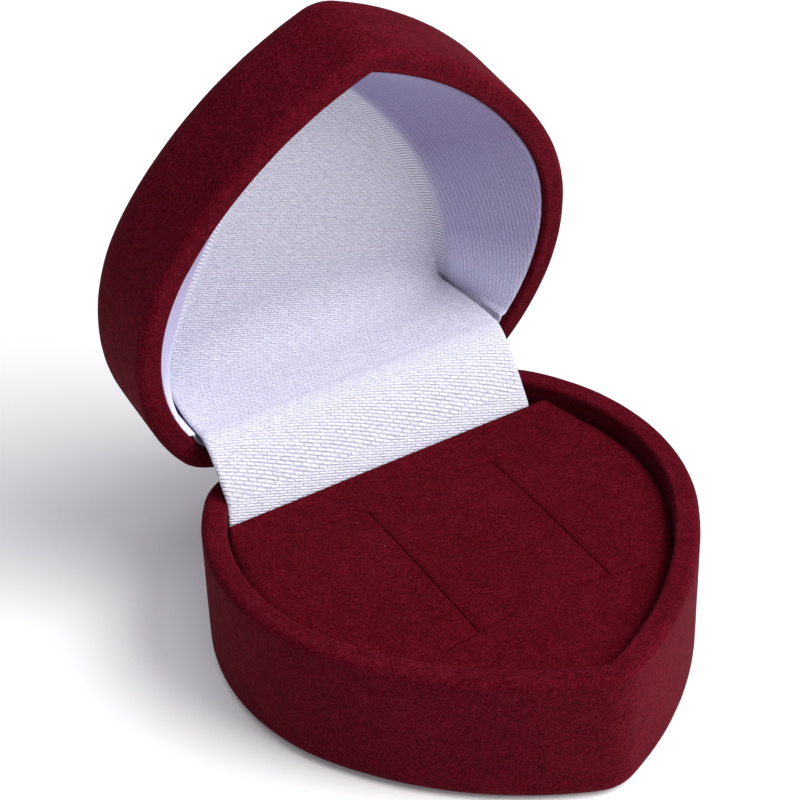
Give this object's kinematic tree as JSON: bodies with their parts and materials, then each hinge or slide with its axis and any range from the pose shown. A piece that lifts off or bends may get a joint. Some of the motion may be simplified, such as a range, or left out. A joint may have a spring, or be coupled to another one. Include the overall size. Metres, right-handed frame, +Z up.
{
  "type": "heart-shaped ring box",
  "caption": "Heart-shaped flocked ring box with a hinged lid, satin-lined lid and a slit velvet pad for rings.",
  "frame": {"origin": "on the underside of the base, under the middle of the heart's outline between the widest points of the lobes", "axes": "+X to the right along the hinge, -Y towards the heart's point (the front), +Z up; the lid stands open behind"},
  "size_m": [0.06, 0.0725, 0.0755],
  "materials": {
    "flocked_shell": "moulded plastic with short burgundy flock all over",
    "velvet_pad": "flocked sheet, fine matt nap",
    "white_satin": "white satin with a fine ribbed weave and a soft sheen",
    "hinge_steel": "stamped and zinc plated",
    "pad_sponge": "open-cell foam",
    "grey_card": "plain grey card"
  },
  "bodies": {
    "base": {"base_shell": "flocked_shell", "pad_board": "grey_card", "pad_foam": "pad_sponge", "pad_cover": "velvet_pad", "base_hinge_leaf": "hinge_steel", "base_hinge_rivets": "hinge_steel", "hinge_pin": "hinge_steel", "hinge_spring": "hinge_steel"},
    "lid": {"lid_shell": "flocked_shell", "lid_liner": "white_satin", "satin_flap": "white_satin", "lid_hinge_leaf": "hinge_steel", "lid_hinge_rivets": "hinge_steel"}
  },
  "joints": [
    {"name": "lid_hinge", "type": "hinge", "parent": "base", "child": "lid", "pos_m": [0, 0.02075, 0.017], "axis": [1, 0, 0], "range_deg": [0, 81.3], "deforming": ["satin_flap", "hinge_spring"]}
  ]
}
